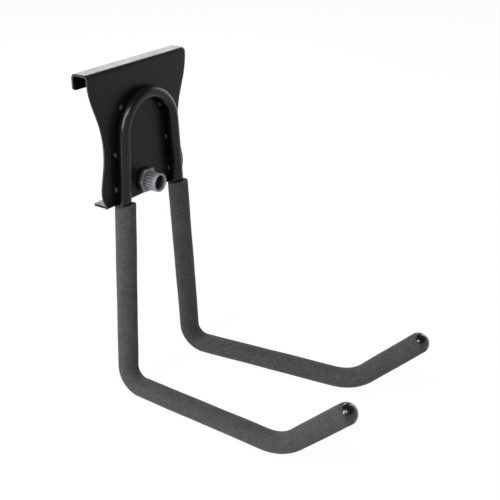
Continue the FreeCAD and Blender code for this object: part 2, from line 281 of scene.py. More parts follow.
def closedCellFoam():
    # nitrile rubber foam with a ground skin: charcoal, dull, with fine open pits
    material, tree = newMaterial("closedCellFoam")
    place = addNode(tree, "ShaderNodeTexCoord").outputs["Object"]
    pits = addNode(tree, "ShaderNodeTexNoise",
                   {"Scale": 1 / (foam["cell"] * mm), "Detail": 3.0, "Roughness": 0.6}, {"Vector": place})
    cloud = addNode(tree, "ShaderNodeTexNoise", {"Scale": 1 / (foam["cloud"] * mm), "Detail": 3.0},
                    {"Vector": place})
    floor, skin = foam["pitRange"]
    grain = addNode(tree, "ShaderNodeValToRGB", links={"Fac": pits.outputs["Fac"]},
                    stops=[(floor, linear(foam["pitColour"])), (skin, linear(foam["colour"]))])
    patch = addNode(tree, "ShaderNodeValToRGB", links={"Fac": cloud.outputs["Fac"]},
                    stops=[(0.3, grey(foam["cloudShade"])), (0.7, grey(1.0))])
    colour = addNode(tree, "ShaderNodeMix", {0: 1.0},
                     {6: grain.outputs["Color"], 7: patch.outputs["Color"]},
                     data_type="RGBA", blend_type="MULTIPLY")
    bump = addNode(tree, "ShaderNodeBump", {"Strength": 0.7, "Distance": foam["cellDepth"] * mm},
                   {"Height": pits.outputs["Fac"]})
    shader = addNode(tree, "ShaderNodeBsdfPrincipled",
                     {"Roughness": foam["roughness"], "IOR": 1.45, "Specular IOR Level": 0.2,
                      "Sheen Weight": 0.05, "Sheen Roughness": 0.5},
                     {"Base Color": colour.outputs[2], "Normal": bump.outputs["Normal"]})
    addNode(tree, "ShaderNodeOutputMaterial", links={"Surface": shader.outputs["BSDF"]})
    return material


vinyl = {
    "colour": "#09090a",
    "roughness": (0.18, 0.26),
    "gloss": 0.6,
    "ripple": 2.5,           # between the ripples
    "rippleDepth": 0.03,
}


def dippedVinyl():
    # end caps of dipped vinyl: deep black and glossy, faintly rippled where the dip ran
    material, tree = newMaterial("dippedVinyl")
    place = addNode(tree, "ShaderNodeTexCoord").outputs["Object"]
    ripple = addNode(tree, "ShaderNodeTexNoise", {"Scale": 1 / (vinyl["ripple"] * mm), "Detail": 2.0},
                     {"Vector": place})
    low, high = vinyl["roughness"]
    rough = addNode(tree, "ShaderNodeMapRange", {**noiseSpan, "To Min": low, "To Max": high},
                    {"Value": ripple.outputs["Fac"]})
    bump = addNode(tree, "ShaderNodeBump", {"Strength": 0.5, "Distance": vinyl["rippleDepth"] * mm},
                   {"Height": ripple.outputs["Fac"]})
    shader = addNode(tree, "ShaderNodeBsdfPrincipled",
                     {"Base Color": linear(vinyl["colour"]), "IOR": 1.5,
                      "Specular IOR Level": vinyl["gloss"]},
                     {"Roughness": rough.outputs["Result"], "Normal": bump.outputs["Normal"]})
    addNode(tree, "ShaderNodeOutputMaterial", links={"Surface": shader.outputs["BSDF"]})
    return material


nylon = {
    "darkColour": "#6a6d71",
    "lightColour": "#797c80",
    # the dark colour that the knob's painted shade mixes towards
    "paintedShadeColour": "#22201e",
    "cloud": 1.4,            # between the clouds of the fill
    "grainDepth": 0.02,
    "roughness": 0.45,
}


def mouldedNylon():
    # glass-filled nylon, injection moulded: bluish grey, satin, with a faint cloudy fill;
    # shade is painted into its colour where the knob's shade attribute says: deep in the bore, in the
    # flutes, towards the top, on the hexagon's sides and round the barrel's root
    material, tree = newMaterial("mouldedNylon")
    place = addNode(tree, "ShaderNodeTexCoord").outputs["Object"]
    fill = addNode(tree, "ShaderNodeTexNoise", {"Scale": 1 / (nylon["cloud"] * mm), "Detail": 5.0},
                   {"Vector": place})
    cloudy = addNode(tree, "ShaderNodeValToRGB", links={"Fac": fill.outputs["Fac"]},
                     stops=[(0.25, linear(nylon["darkColour"])), (0.75, linear(nylon["lightColour"]))])
    # painted shade: the colour is mixed towards the dark colour as far as the knob's shade attribute says
    shadeAmount = addNode(tree, "ShaderNodeAttribute", attribute_name="paintedShade")
    colour = addNode(tree, "ShaderNodeMix", {7: linear(nylon["paintedShadeColour"])},
                     {0: shadeAmount.outputs["Fac"], 6: cloudy.outputs["Color"]}, data_type="RGBA")
    bump = addNode(tree, "ShaderNodeBump", {"Strength": 0.4, "Distance": nylon["grainDepth"] * mm},
                   {"Height": fill.outputs["Fac"]})
    shader = addNode(tree, "ShaderNodeBsdfPrincipled", {"Roughness": nylon["roughness"], "IOR": 1.53},
                     {"Base Color": colour.outputs[2], "Normal": bump.outputs["Normal"]})
    addNode(tree, "ShaderNodeOutputMaterial", links={"Surface": shader.outputs["BSDF"]})
    return material


brass = {
    "colour": "#64502e",
    "roughness": (0.28, 0.4),
    "rings": 0.25,           # between the rings that the lathe leaves
}


def turnedBrass():
    # free-cutting brass, coloured a dark brown that paints the shade deep in the knob's bore, with fine
    # lathe rings
    material, tree = newMaterial("turnedBrass")
    place = addNode(tree, "ShaderNodeTexCoord").outputs["Object"]
    rings = addNode(tree, "ShaderNodeTexWave", {"Scale": 1 / (brass["rings"] * mm), "Distortion": 0.4},
                    {"Vector": place}, bands_direction="Y")
    low, high = brass["roughness"]
    rough = addNode(tree, "ShaderNodeMapRange", {"To Min": low, "To Max": high},
                    {"Value": rings.outputs["Fac"]})
    shader = addNode(tree, "ShaderNodeBsdfPrincipled",
                     {"Base Color": linear(brass["colour"]), "Metallic": 1.0},
                     {"Roughness": rough.outputs["Result"]})
    addNode(tree, "ShaderNodeOutputMaterial", links={"Surface": shader.outputs["BSDF"]})
    return material


zinc = {
    "colour": "#a9acb0",
    "roughness": (0.26, 0.44),
    "cloud": 2.2,            # between the dull clouds
}


def zincPlate():
    # bright zinc plating on a cold-headed steel bolt: bluish silver with dull clouds
    material, tree = newMaterial("zincPlate")
    place = addNode(tree, "ShaderNodeTexCoord").outputs["Object"]
    cloud = addNode(tree, "ShaderNodeTexNoise", {"Scale": 1 / (zinc["cloud"] * mm), "Detail": 6.0},
                    {"Vector": place})
    low, high = zinc["roughness"]
    rough = addNode(tree, "ShaderNodeMapRange", {**noiseSpan, "To Min": low, "To Max": high},
                    {"Value": cloud.outputs["Fac"]})
    shader = addNode(tree, "ShaderNodeBsdfPrincipled",
                     {"Base Color": linear(zinc["colour"]), "Metallic": 1.0},
                     {"Roughness": rough.outputs["Result"]})
    addNode(tree, "ShaderNodeOutputMaterial", links={"Surface": shader.outputs["BSDF"]})
    return material


plateEnamel = sprayedEnamel("plateEnamel", enamel["plate"])
rodEnamel = sprayedEnamel("rodEnamel", enamel["rod"])
foamSkin = closedCellFoam()
capVinyl = dippedVinyl()
knobNylon = mouldedNylon()
insertBrass = turnedBrass()
boltZinc = zincPlate()
print("materials made")


# Sheet plate

plateLow, plateHigh = boxOf("back_plate")
plate = {
    "sheet": 1.6,
    "lipDepth": 13.5,        # front face to the back of the flange
    "lipBend": 1.5,          # inside radii of the bends
    "footBend": 1.0,
    "flangeHeight": 10.8,
    "flangeCorner": 2.0,
    "footCorner": 1.2,
    "shoulderDrop": 9.9,     # corners of the side outline before rounding, half widths and drops
    "waistHalf": 34.5,
    "waistDrop": 44.5,
    "flareHalf": 42.7,
    "flareDrop": 80.7,
    "footHalf": 36.5,
    "outlineRadii": (48.0, 60.0, 19.0),
    "middle": 60.0,          # a drop between lip and foot; the side outline starts as far above the origin
    "edge": 0.28,            # rounding that the coat gives the cut edges
    "edgeRows": 5,
    "holeHalf": 3.4,         # square hole that guides the bolt's neck
    "holeColumns": 4,
    "holeRoom": 0.35,        # kept free of other rows beside the hole's own
    "sideColumns": 17,
}
knobDrop = 78.4
plateFront = plateLow[1]
plateTop = plateHigh[2]
footUnder = plateLow[2]


def plateStrip():
    # centre line of the sheet in the Y-Z plane, from the low edge of the flange to the back of the foot
    half = plate["sheet"] / 2
    flangeY, frontY = plateFront + plate["lipDepth"] - half, plateFront + half
    corners = [(0, flangeY, plateTop - plate["flangeHeight"]), (0, flangeY, plateTop - half),
               (0, frontY, plateTop - half), (0, frontY, footUnder + half),
               (0, plateHigh[1], footUnder + half)]
    radii = [plate["lipBend"] + half, plate["lipBend"] + half, plate["footBend"] + half]
    return bentPath(corners, radii, step=0.8, arcStep=9.0)


def plateHalfWidth(points, along):
    # the side outline gives the half width at each height; the corners of flange and foot narrow the ends
    half, middle = plateHigh[0], plate["middle"]
    outline = [(half, 0, middle), (half, 0, -plate["shoulderDrop"]),
               (plate["waistHalf"], 0, -plate["waistDrop"]), (plate["flareHalf"], 0, -plate["flareDrop"]),
               (plate["footHalf"], 0, footUnder)]
    line, _ = bentPath(outline, plate["outlineRadii"], step=1.0, arcStep=2.0)
    width = np.interp(-points[:, 2], -line[:, 2], line[:, 0])
    footStart = plateFront + plate["sheet"] + plate["footBend"]
    width[(points[:, 1] > footStart) & (points[:, 2] < -middle)] = plate["footHalf"]
    width[(points[:, 1] > 0) & (points[:, 2] > -middle)] = half
    for distance, radius in ((along, plate["flangeCorner"]), (along[-1] - along, plate["footCorner"])):
        lack = np.clip(radius - distance, 0, radius)
        width = width - (radius - np.sqrt(radius ** 2 - lack ** 2))
    return width


def plateRows(points, along):
    # distances along the strip at which the grid has a row, and those of the hole's upper and lower side
    edge, hole, end = plate["edge"], plate["holeHalf"], along[-1]
    onFront = np.isclose(points[:, 1], plateFront + plate["sheet"] / 2)
    holeRows = np.interp([knobDrop - hole, knobDrop + hole], -points[onFront, 2], along[onFront])
    inset = edge * (1 - np.cos(np.linspace(0, math.pi / 2, plate["edgeRows"])))
    clear = (along > 2 * edge) & (along < end - 2 * edge)
    clear &= np.abs(along - holeRows[:, None]).min(0) > plate["holeRoom"]
    rows = np.concatenate([[0], inset, along[clear], holeRows, end - inset[::-1], [end]])
    rows.sort()
    return rows, holeRows


def plateGrid():
    # each row carries a flat section with rounded edges: across the back, round the right edge, across the
    # front and round the left edge; two rows and four columns run along the sides of the square hole
    points, tangents = plateStrip()
    along = distanceAlong(points)
    rows, holeRows = plateRows(points, along)
    edge, hole = plate["edge"], plate["holeHalf"]
    place = readAt(rows, along, points)
    normal = np.cross(unit(readAt(rows, along, tangents)), rightward)
    width = np.interp(rows, along, plateHalfWidth(points, along))
    # the first and last rows are rounded like the edges, by a quarter circle that bites into the thickness
    reach = np.minimum(rows, along[-1] - rows)
    bite = edge - np.sqrt(np.clip(edge ** 2 - np.clip(edge - reach, 0, edge) ** 2, 0, None))
    depth = plate["sheet"] / 2 - bite
    depth[[0, -1]] = 0
    # x is a fixed part, a spread that follows the width and a bulge outward at the rounded edges;
    # level goes from -1 on the back to 1 on the front
    quarter = np.linspace(0, math.pi / 2, plate["edgeRows"])
    side = np.linspace(0, 1, plate["sideColumns"] + 1)[1:]
    overHole = np.linspace(-hole, hole, plate["holeColumns"] + 1)
    flat = np.concatenate([np.full_like(side, -hole), overHole, np.full_like(side, hole)])
    share = np.concatenate([-side[::-1], np.zeros_like(overHole), side])
    bulge = np.concatenate([np.sin(quarter), np.cos(quarter)])
    climb = np.concatenate([-np.cos(quarter), np.sin(quarter)])
    ones, still = np.ones_like(bulge), np.zeros_like(flat)
    fixed = np.concatenate([flat, hole * ones, flat[::-1], -hole * ones])
    spread = np.concatenate([share, ones, share[::-1], -ones])
    outward = np.concatenate([still, bulge, still, -bulge])
    level = np.concatenate([still - 1, climb, still + 1, -climb])
    x = fixed + spread * (width[:, None] - bite[:, None] - edge - hole) + outward * edge
    soft = np.minimum(edge, depth)[:, None]
    core = np.sign(level) * (depth[:, None] - soft) + level * soft
    grid = place[:, None] + x[..., None] * rightward + core[..., None] * normal[:, None]
    return grid, np.searchsorted(rows, holeRows)


def holedQuads(grid, holeRows):
    # the grid's quads without those over the hole, and with the hole's four walls
    rows, columns = grid.shape[:2]
    top, bottom = holeRows
    inside = plate["holeColumns"]
    back = plate["sideColumns"]
    front = columns // 2 + back
    quads = quadGrid(rows, columns)
    row, column = quads[:, 0] // columns, quads[:, 0] % columns
    acrossBack = (column >= back) & (column < back + inside)
    acrossFront = (column >= front) & (column < front + inside)
    overHole = (row >= top) & (row < bottom) & (acrossBack | acrossFront)
    walls = []
    for start in np.arange(top, bottom) * columns:
        below = start + columns
        for here, there in ((back, front + inside), (back + inside, front)):
            walls.append([start + here, below + here, below + there, start + there])
    for k in range(inside):
        for start in (top * columns, bottom * columns):
            here, there = start + back + k, start + front + inside - k
            walls.append([here, here + 1, there - 1, there])
    return np.concatenate([quads[~overHole], walls])


def makePlate():
    grid, holeRows = plateGrid()
    piece = newMesh("backPlate", grid.reshape(-1, 3), holedQuads(grid, holeRows), 30.0)
    finishPiece(piece, "hook", "plate_enamel", plateEnamel, "back_plate")


makePlate()
print("plate made")


# Bent rod

rodTop = boxOf("hook_rod")[1][2]
rod = {
    "radius": 4.0,
    "archRadius": 24.5,
    "archSteps": 30,
    "legSplay": 3.66,
    "weldOffset": 2.0,       # the rod is welded this far right of the plate's middle
    "legDrop": 218.9,
    "backBend": 13.0,
    "frontBend": 38.0,
    "runLength": 135.0,
    "runRise": 2.4,
    "armSplay": 4.0,
    "tipLength": 65.0,
    "tipRise": 43.8,
    "endRound": 0.8,
    "guideDrop": 60.0,       # drop below the arch over which the rings turn
    "columns": 56,
}
bends = [rod["backBend"], rod["frontBend"]]


def armDirection(rise):
    flat, splay = math.cos(math.radians(rise)), math.radians(rod["armSplay"])
    return np.array([flat * math.sin(splay), -flat * math.cos(splay), math.sin(math.radians(rise))])


lean = math.radians(rod["legSplay"])
rodY = plateFront - rod["radius"]
archCentre = np.array([rod["weldOffset"], rodY, rodTop - rod["radius"] - rod["archRadius"]])
archEnd = archCentre + rod["archRadius"] * np.array([math.cos(lean), 0, math.sin(lean)])
legDirection = np.array([math.sin(lean), 0, -math.cos(lean)])
backCorner = archEnd + legDirection * (rod["legDrop"] + archEnd[2]) / math.cos(lean)
frontCorner = backCorner + armDirection(rod["runRise"]) * rod["runLength"]
tipDirection = armDirection(rod["tipRise"])
rodEnd = frontCorner + tipDirection * rod["tipLength"]


def mirrored(points):
    # the same points on the other side of the rod's middle plane
    return points * [-1, 1, 1] + [2 * rod["weldOffset"], 0, 0]


def guideAlong(points):
    # rings start from +Y on the arch and turn evenly to +X down the legs, as the path later runs along Y
    share = np.clip((archEnd[2] - points[:, 2]) / rod["guideDrop"], 0, 1)[:, None]
    return unit((1 - share) * backward + share * rightward)


def makeRod():
    # the right half from the top of the arch to the tip, and its mirror image before it
    radius, tipRound = rod["radius"], rod["endRound"]
    angle = np.linspace(math.pi / 2, lean, rod["archSteps"], endpoint=False)[:, None]
    sine, cosine, level = np.sin(angle), np.cos(angle), 0 * angle
    arch = archCentre + rod["archRadius"] * np.concatenate([cosine, level, sine], axis=1)
    archHeading = np.concatenate([sine, level, -cosine], axis=1)
    arm, armHeading = bentPath([archEnd, backCorner, frontCorner, rodEnd], bends, 4.0)
    # the end is a small chamfer, then a ring closed to its centre
    tip = rodEnd - tipDirection * np.array([tipRound, 0, 0])[:, None]
    points = np.concatenate([arch, arm[:-1], tip])
    tangents = np.concatenate([archHeading, armHeading[:-1], np.repeat([tipDirection], 3, axis=0)])
    radii = np.full(len(points), radius)
    radii[-3:] = [radius, radius - tipRound, 0]
    points = np.concatenate([mirrored(points)[:0:-1], points])
    tangents = np.concatenate([tangents[:0:-1] * [1, -1, -1], tangents])
    radii = np.concatenate([radii[:0:-1], radii])
    piece = gridMesh("hookRod", tubeGrid(points, tangents, guideAlong(points), radii, rod["columns"]))
    finishPiece(piece, "hook", "rod_enamel", rodEnamel, "hook_rod")


makeRod()
print("rod made")


# Weld beads

bead = {
    "radius": 1.8,
    "length": 4.6,
    "offset": 4.4,           # from the middle of the rod to the middle of the bead
    "stand": 0.35,
    "drops": (53.9, 77.1),
    "archAngle": 41.0,
    "fullness": 2.6,         # 2 would be an egg, more is blunter
    "ripples": 4,
    "rippleShare": 0.05,     # of the radius
    "rows": 25,
    "columns": 20,
}


def beadGrid(middle, heading):
    # a blunt drop along the joint, its radius ruffled by the ripples of the pool as it froze
    share = np.linspace(-1, 1, bead["rows"])
    ruffle = 1 + bead["rippleShare"] * np.cos(share * bead["ripples"] * math.pi)
    egg = np.sqrt(np.clip(1 - np.abs(share) ** bead["fullness"], 0, 1))
    points = middle + share[:, None] * heading * bead["length"] / 2
    headings = np.repeat([heading], len(share), axis=0)
    across = unit(np.cross(heading, backward))
    return tubeGrid(points, headings, across, bead["radius"] * egg * ruffle, bead["columns"])


def makeBeads():
    y = plateFront - bead["stand"]
    across = np.array([math.cos(lean), 0, math.sin(lean)])
    angle = math.radians(bead["archAngle"])
    spoke = np.array([math.cos(angle), 0, math.sin(angle)])
    grids = []
    for side in (-1, 1):
        offset = bead["offset"] * side
        for drop in bead["drops"]:
            leg = archEnd + legDirection * (archEnd[2] + drop) / math.cos(lean)
            grids.append(beadGrid(np.array([leg[0], y, leg[2]]) + across * offset, legDirection))
        middle = np.array([archCentre[0], y, archCentre[2]]) + spoke * (rod["archRadius"] + offset)
        grids.append(beadGrid(middle, np.array([-math.sin(angle), 0, math.cos(angle)])))
    grids += [mirrored(grid) for grid in grids]
    piece = joinedMesh("weldBeads", grids)
    finishPiece(piece, "hook", "rod_enamel", rodEnamel, "weld_beads")


makeBeads()
print("weld beads made")


# Foam sleeves and end caps

sleeve = {
    "radius": 7.0,
    "bore": 4.05,
    "gap": 0.2,              # under the back of the plate's foot
    "topSlant": 8.0,         # the cut top rises by this much towards the front
    "topRound": 0.25,
    "slantFade": 16.0,
    "capAngle": 58.0,        # half angle of the ball-shaped tip that the cap takes
    "ballSetback": 2.6,      # middle of that ball, behind the end of the rod
    "capRoom": 9.05,         # depth of the wider bore that takes the cap
    "capBore": 4.97,
    "unevenness": 0.12,      # the ground skin isn't quite round
    "waves": ((11.0, 2, 0.0), (6.3, -3, 1.0), (17.0, 1, 2.0)),   # length, turns round the sleeve, phase
    "waveFades": (4.0, 6.0),    # at the top and at the tip
    "columns": 72,
}
ballCentre = rodEnd - tipDirection * sleeve["ballSetback"]
mouthHeight = sleeve["radius"] * math.cos(math.radians(sleeve["capAngle"]))
slant = math.radians(sleeve["topSlant"])
cutNormal = np.array([0, math.sin(slant), math.cos(slant)])


def foamSwell(along, angle):
    # slow waves along and around the sleeve, a tenth of a millimetre high
    waves = sum(np.sin(along / length + turns * angle + phase) for length, turns, phase in sleeve["waves"])
    return waves / len(sleeve["waves"]) * sleeve["unevenness"]


def sleeveProfile(along):
    # distance along the sleeve and radius: the outside, the ball-shaped end, the cap's seat and the bore
    length, radius, small = along[-1], sleeve["radius"], sleeve["topRound"]
    bore, capBore = sleeve["bore"], sleeve["capBore"]
    ballStart = length - mouthHeight
    roomEnd = ballStart + sleeve["ballSetback"] - sleeve["capRoom"]
    outer = along[(along > 3 * small) & (along < ballStart - 0.5)]
    inner = outer[outer < roomEnd - 1][::-3]
    ball = np.radians(np.linspace(90, sleeve["capAngle"], 10))
    rows = [(small * (1 - math.cos(a)), radius - small * (1 - math.sin(a)))
            for a in np.linspace(0, math.pi / 2, 4)]
    rows += [(s, radius) for s in outer]
    rows += list(zip(ballStart + radius * np.cos(ball), radius * np.sin(ball)))
    rows += [(length, capBore), (roomEnd, capBore), (roomEnd, bore)]
    rows += [(s, bore) for s in inner] + [(0.0, bore)]
    return np.array(rows)


def makeSleeve(name, node, other):
    # other is the left sleeve, made as the right one's mirror image
    lift = sleeve["gap"] - sleeve["radius"] * cutNormal[1] / cutNormal[2]
    top = archEnd + legDirection * ((archEnd[2] - footUnder + lift) / math.cos(lean))
    mouth = ballCentre + tipDirection * mouthHeight
    route, heading = bentPath([top, backCorner, frontCorner, mouth], bends, 1.5, 2.5)
    along = distanceAlong(route)
    rows, radii = sleeveProfile(along).T
    points, headings = readAt(rows, along, route), unit(readAt(rows, along, heading))
    grid = tubeGrid(points, headings, rightward, radii, sleeve["columns"])
    spoke = grid - points[:, None]
    angle = np.arange(sleeve["columns"])[None] * turn / sleeve["columns"]
    outside = (radii > sleeve["capBore"] + 0.1) & (rows < along[-1] - 0.1)
    topFade, tipFade = sleeve["waveFades"]
    fade = np.clip(rows / topFade, 0, 1) * np.clip((along[-1] - rows) / tipFade, 0, 1) * outside
    grid = grid + unit(spoke) * (foamSwell(rows[:, None], angle) * fade[:, None])[..., None]
    # near the top each point slides along the leg, so that the first ring lies in the slanted cut
    slide = (spoke @ cutNormal) / (legDirection @ cutNormal)
    slide = slide * np.clip(1 - rows / sleeve["slantFade"], 0, 1)[:, None]
    grid = grid - slide[..., None] * legDirection
    piece = gridMesh(name, mirrored(grid) if other else grid, closeRows=True)
    finishPiece(piece, "hook", "foam", foamSkin, node)


cap = {
    "inner": 4.02,
    "wall": 0.9,
    "depth": 9.0,
    "roof": 0.02,            # over the end of the rod
    "seam": 0.05,            # head of the cap to the foam
    "edge": 0.16,
    "columns": 60,
}


def makeCap(name, node, other):
    # a socket on the rod, and a head that completes the sleeve's ball; other is the left cap, mirrored
    inner, outer, depth, roof = cap["inner"], cap["inner"] + cap["wall"], cap["depth"], cap["roof"]
    radius, edge, low = sleeve["radius"], cap["edge"], mouthHeight + cap["seam"]
    rim = math.sqrt(radius ** 2 - low ** 2)
    sweep = np.linspace(math.acos((low + edge) / radius), 0, 16)
    head = np.stack([radius * np.cos(sweep), radius * np.sin(sweep)], axis=1) - [sleeve["ballSetback"], 0]
    low -= sleeve["ballSetback"]
    socket = [(roof, 0), (roof, inner), (-depth, inner), (-depth, outer), (low, outer), (low, rim - edge),
              (low + 0.3 * edge, rim - 0.3 * edge)]
    local = spunGrid(np.concatenate([socket, head]), cap["columns"])
    across = unit(np.cross(tipDirection, rightward))
    beside = np.cross(across, tipDirection)
    grid = rodEnd + local[..., :1] * beside + local[..., 1:2] * across + local[..., 2:] * tipDirection
    piece = gridMesh(name, mirrored(grid) if other else grid, 35.0)
    finishPiece(piece, "hook", "cap_vinyl", capVinyl, node)


makeSleeve("foamSleeveRight", "foam_sleeve_right", False)
makeSleeve("foamSleeveLeft", "foam_sleeve_left", True)
makeCap("endCapRight", "end_cap_right", False)
makeCap("endCapLeft", "end_cap_left", True)
print("sleeves and caps made")


# Lock knob, insert, drawbolt and washer; what is spun is made along +Z and then faced out of the plate

knobLow, knobHigh = boxOf("lock_knob")
knob = {
    "length": knobHigh[1] - knobLow[1],
    "turned": -4.0,          # the hexagon as the knob stands
    "flats": 15.4,
    "hexHeight": 2.4,
    "toe": ((0.0, 0.25), (0.12, 0.08), (0.3, 0.0)),   # height and inset of the rounding under the hexagon
    "chamfer": 12.0,
    "land": 0.3,
    "crease": 0.12,          # moulded rounding of the hexagon's long edges
    "creaseSpan": 0.05,      # radians that it takes each side of an edge
    "barrel": 6.35,
    "flutes": 18,
    "fluteDepth": 0.6,
    "fluteShare": 0.5,       # width of a flute as a share of the spacing
    "ring": 6.3,
    "ringLength": 2.0,
    "ringRound": 0.5,
    "mouth": 5.1,
    "mouthChamfer": 0.35,
    "seat": 4.4,             # bore that holds the insert
    "pocket": 4.775,
    "pocketDepth": 2.1,
    "insertLength": 4.2,
    "columns": 360,
}
# painted shade on the knob, as shares of the dark colour: in the bore, on the flute floors and more towards
# the top, a little on the ring, on the hexagon's sides and round the barrel's root
paintedShade = {
    "boreStart": 1.0,        # painted shade in the bore starts this far behind the knob's front
    "boreFade": 2.0,         # the bore is fully dark this much farther in
    "fluteFloor": 0.3,       # from here on shares of full painted shade, here on the lowest flute's floor
    "upperFloor": 0.25,      # added to it up to the topmost flute
    "topShade": 0.4,             # painted shade on top of the barrel
    "ring": 0.12,
    "base": 0.8,             # painted shade on the sides of the hexagon, up to their front edge
    "root": 0.6,             # painted shade on the face of the hexagon, close to the barrel
}


def facingOut(grid, start):
    # what was made along +Z is turned to point along -Y, out of the plate, from the plane y = start
    x, y, z = grid[..., 0], grid[..., 1], grid[..., 2]
    return np.stack([x, start - z, y - knobDrop], axis=-1)


def knobProfile():
    # height, radius and kind of section: 0 round, 1 hexagon, 2 fluted
    length, ringStart, barrel = knob["length"], knob["length"] - knob["ringLength"], knob["barrel"]
    hexTop, corner = knob["hexHeight"], knob["flats"] / 2 / math.cos(math.pi / 6)
    mouth, rim, size = knob["mouth"], knob["mouth"] + knob["mouthChamfer"], knob["ringRound"]
    floor, seatEnd = knob["pocketDepth"], knob["pocketDepth"] + knob["insertLength"]
    rows = [(0.0, knob["pocket"], 0)] + [(h, corner - inset, 1) for h, inset in knob["toe"]]
    # close rows follow the chamfered corners, and the barrel leaves the hexagon with a small fillet
    rows += [(h, corner, 1) for h in np.linspace(0.6, hexTop - 0.42, 6)]
    rows += [(h, corner, 1) for h in np.linspace(hexTop - 0.38, hexTop - 0.02, 9)]
    rows += [(hexTop, knob["flats"] / 2 - knob["land"] - 0.1, 0), (hexTop, barrel + 0.15, 0)]
    rows += [(hexTop + 0.08, barrel + 0.03, 2), (hexTop + 0.25, barrel, 2)]
    rows += [(h, barrel, 2) for h in np.linspace(hexTop + 0.5, ringStart - 0.1, 16)]
    rows += [(ringStart, barrel, 2), (ringStart + 0.02, knob["ring"], 0)]
    rows += [(h, r, 0) for h, r in arcRows(length - size, knob["ring"] - size, size, 0, 90, 8)]
    rows += [(length, rim + 0.05, 0), (length - 0.06, rim - 0.03, 0)]
    rows += [(length - knob["mouthChamfer"], mouth, 0)]
    rows += [(h, mouth, 0) for h in np.linspace(length - 1, seatEnd + 0.3, 6)]
    rows += [(seatEnd, mouth - 0.1, 0), (seatEnd, knob["seat"], 0)]
    rows += [(floor, knob["seat"], 0), (floor, knob["pocket"], 0)]
    return np.array(rows, float)


def knobPaintedShade(x, y, z):
    # how much painted shade each point gets; upper goes from 0 at the bottom of the knob to 1 at the top,
    # where the painted shade is deepest
    reach = np.hypot(x, z + knobDrop)
    height = knobHigh[1] - y
    ringStart = knob["length"] - knob["ringLength"]
    upper = 0.5 + 0.5 * (z + knobDrop) / reach
    bore = np.clip((y - knobLow[1] - paintedShade["boreStart"]) / paintedShade["boreFade"], 0, 1)
    bore = bore * (reach < knob["mouth"] + 0.05)
    onBarrel = (height > knob["hexHeight"] + 0.1) & (height < ringStart + 0.01)
    floorShare = np.clip((knob["barrel"] - reach) / knob["fluteDepth"], 0, 1)
    flute = (paintedShade["fluteFloor"] + paintedShade["upperFloor"] * upper) * floorShare + paintedShade["topShade"] * upper ** 2
    flute = flute * onBarrel * (reach > knob["mouth"])
    ring = paintedShade["ring"] * (height > ringStart) * (reach > knob["mouth"] + 0.05)
    onHexagon = reach > knob["mouth"] + 1
    base = paintedShade["base"] * np.clip((knob["hexHeight"] - 0.35 - height) / 0.2, 0, 1) * onHexagon
    root = paintedShade["root"] * np.clip((knob["flats"] / 2 - 0.4 - reach) / 0.7, 0, 1)
    root = root * (np.abs(height - knob["hexHeight"]) < 0.1) * onHexagon
    return bore + flute + ring + base + root


def makeKnob():
    rows = knobProfile()
    kinds = rows[:, 2:]

    def section(height, radius, angle):
        # the hexagon's radius is its flat over the cosine of the angle from the flat's middle, eased at the
        # corners and cut by a cone; a flute is a parabola as wide as its share of the spacing
        sixth, flat = turn / 6, knob["flats"] / 2
        fromFlat = (angle - math.radians(knob["turned"])) % sixth - sixth / 2
        cone = flat - knob["land"] + (knob["hexHeight"] - height) / math.tan(math.radians(knob["chamfer"]))
        nearCorner = np.clip(1 - (sixth / 2 - np.abs(fromFlat)) / knob["creaseSpan"], 0, 1)
        prism = flat / np.cos(fromFlat) - knob["crease"] * nearCorner ** 2
        hexagon = np.minimum(np.minimum(radius, prism), cone)
        inFlute = (angle * knob["flutes"] / turn) % 1 / knob["fluteShare"]
        fluted = radius - knob["fluteDepth"] * np.clip(1 - (2 * inFlute - 1) ** 2, 0, 1)
        return np.where(kinds == 1, hexagon, np.where(kinds == 2, fluted, radius))

    grid = facingOut(spunGrid(rows[:, :2], knob["columns"], section), knobHigh[1])
    piece = gridMesh("lockKnob", grid, 35.0, closeRows=True)
    # the painted shade of each point goes onto the knob as a point attribute
    place = np.empty(len(piece.data.vertices) * 3, np.float32)
    piece.data.vertices.foreach_get("co", place)
    shadeAmount = knobPaintedShade(*place.reshape(-1, 3).T / mm)
    piece.data.attributes.new("paintedShade", "FLOAT", "POINT").data.foreach_set("value", shadeAmount.astype(np.float32))
    finishPiece(piece, "knob", "knob_plastic", knobNylon, "lock_knob")


thread = {
    "pitch": 1.0,
    "depth": 0.55,
    "clearance": 0.05,
    "steepness": 1.25,       # over that of a sharp thread, which leaves the crest flat
    "rootFlat": 0.05,
    "columns": 72,
}
boltLow, boltHigh = boxOf("lock_bolt")
bolt = {
    "radius": 3.0,
    "end": plateFront - boltLow[1],   # the thread stands this far out of the plate's face
    "threadStart": 0.2,
    "chamfer": 0.6,
    "neck": 6.4,
    "neckEdge": 0.3,
    "headHeight": 2.5,
    "headWidth": 8.0,
    "headRound": 0.5,
    "headColumns": 96,
    "overlap": 1.0,          # shank into neck, neck into head
}
insert = {
    "outer": 4.4,
    "start": knob["pocketDepth"],
    "length": knob["insertLength"],
    "chamfer": 0.4,
    "threadShare": 0.6,      # of the bolt's thread depth
    "plainEnd": 0.3,         # of the bore, at either end
    "threadFade": 0.4,
    "rows": 90,
}


def threadWave(height, angle):
    # a blunt triangle wave that climbs one pitch each turn, 0 at the root and 1 at the crest
    phase = (height / thread["pitch"] - angle / turn) % 1.0
    return np.clip(thread["steepness"] * (1 - np.abs(2 * phase - 1)) - thread["rootFlat"], 0, 1)


